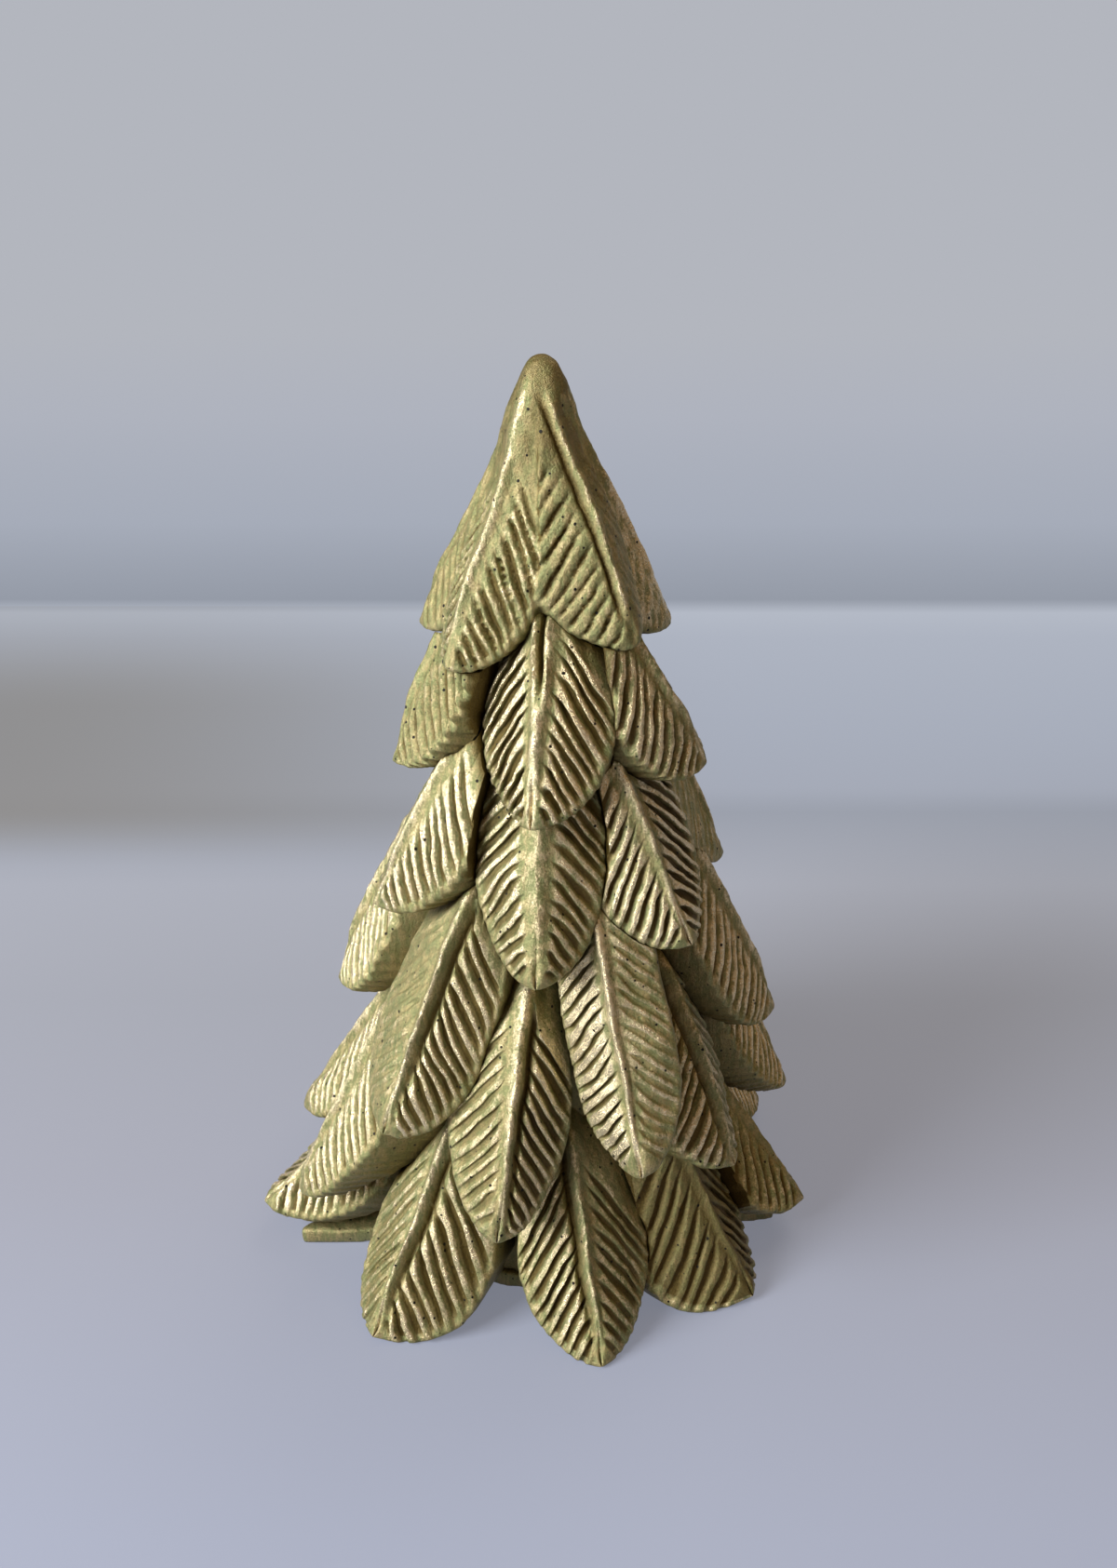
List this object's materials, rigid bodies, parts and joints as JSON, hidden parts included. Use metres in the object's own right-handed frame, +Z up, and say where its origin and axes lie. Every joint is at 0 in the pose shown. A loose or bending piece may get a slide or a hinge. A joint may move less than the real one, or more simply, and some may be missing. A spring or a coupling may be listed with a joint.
{
  "type": "tabletop christmas tree",
  "caption": "Cast concrete tabletop Christmas tree: tiers of thick veined leaves overlap like shingles around a tapered core, under a blunt tip.",
  "frame": {"origin": "centre of the flat underside, on the surface that the tree stands on", "axes": "+Z up along the core, -Y towards the viewer of the picture, +X to the viewer's right"},
  "size_m": [0.0764, 0.071, 0.122],
  "materials": {
    "painted_concrete": "olive green paint with metallic gold brushed over the raised forms, satin, small pinholes"
  },
  "bodies": {
    "root": {"cap": "painted_concrete", "core": "painted_concrete", "foot": "painted_concrete", "tier_1_leaf_1": "painted_concrete", "tier_1_leaf_2": "painted_concrete", "tier_1_leaf_3": "painted_concrete", "tier_1_leaf_4": "painted_concrete", "tier_1_leaf_5": "painted_concrete", "tier_1_leaf_6": "painted_concrete", "tier_2_leaf_1": "painted_concrete", "tier_2_leaf_2": "painted_concrete", "tier_2_leaf_3": "painted_concrete", "tier_2_leaf_4": "painted_concrete", "tier_2_leaf_5": "painted_concrete", "tier_3_leaf_1": "painted_concrete", "tier_3_leaf_2": "painted_concrete", "tier_3_leaf_3": "painted_concrete", "tier_3_leaf_4": "painted_concrete", "tier_3_leaf_5": "painted_concrete", "tier_3_leaf_6": "painted_concrete", "tier_3_leaf_7": "painted_concrete", "tier_4_leaf_1": "painted_concrete", "tier_4_leaf_2": "painted_concrete", "tier_4_leaf_3": "painted_concrete", "tier_4_leaf_4": "painted_concrete", "tier_4_leaf_5": "painted_concrete", "tier_4_leaf_6": "painted_concrete", "tier_5_leaf_1": "painted_concrete", "tier_5_leaf_2": "painted_concrete", "tier_5_leaf_3": "painted_concrete", "tier_5_leaf_4": "painted_concrete", "tier_5_leaf_5": "painted_concrete", "tier_5_leaf_6": "painted_concrete", "tier_5_leaf_7": "painted_concrete", "tier_5_leaf_8": "painted_concrete", "tier_6_leaf_1": "painted_concrete", "tier_6_leaf_2": "painted_concrete", "tier_6_leaf_3": "painted_concrete", "tier_6_leaf_4": "painted_concrete", "tier_6_leaf_5": "painted_concrete", "tier_6_leaf_6": "painted_concrete", "tier_6_leaf_7": "painted_concrete", "tier_6_leaf_8": "painted_concrete", "tier_6_leaf_9": "painted_concrete"}
  },
  "joints": []
}
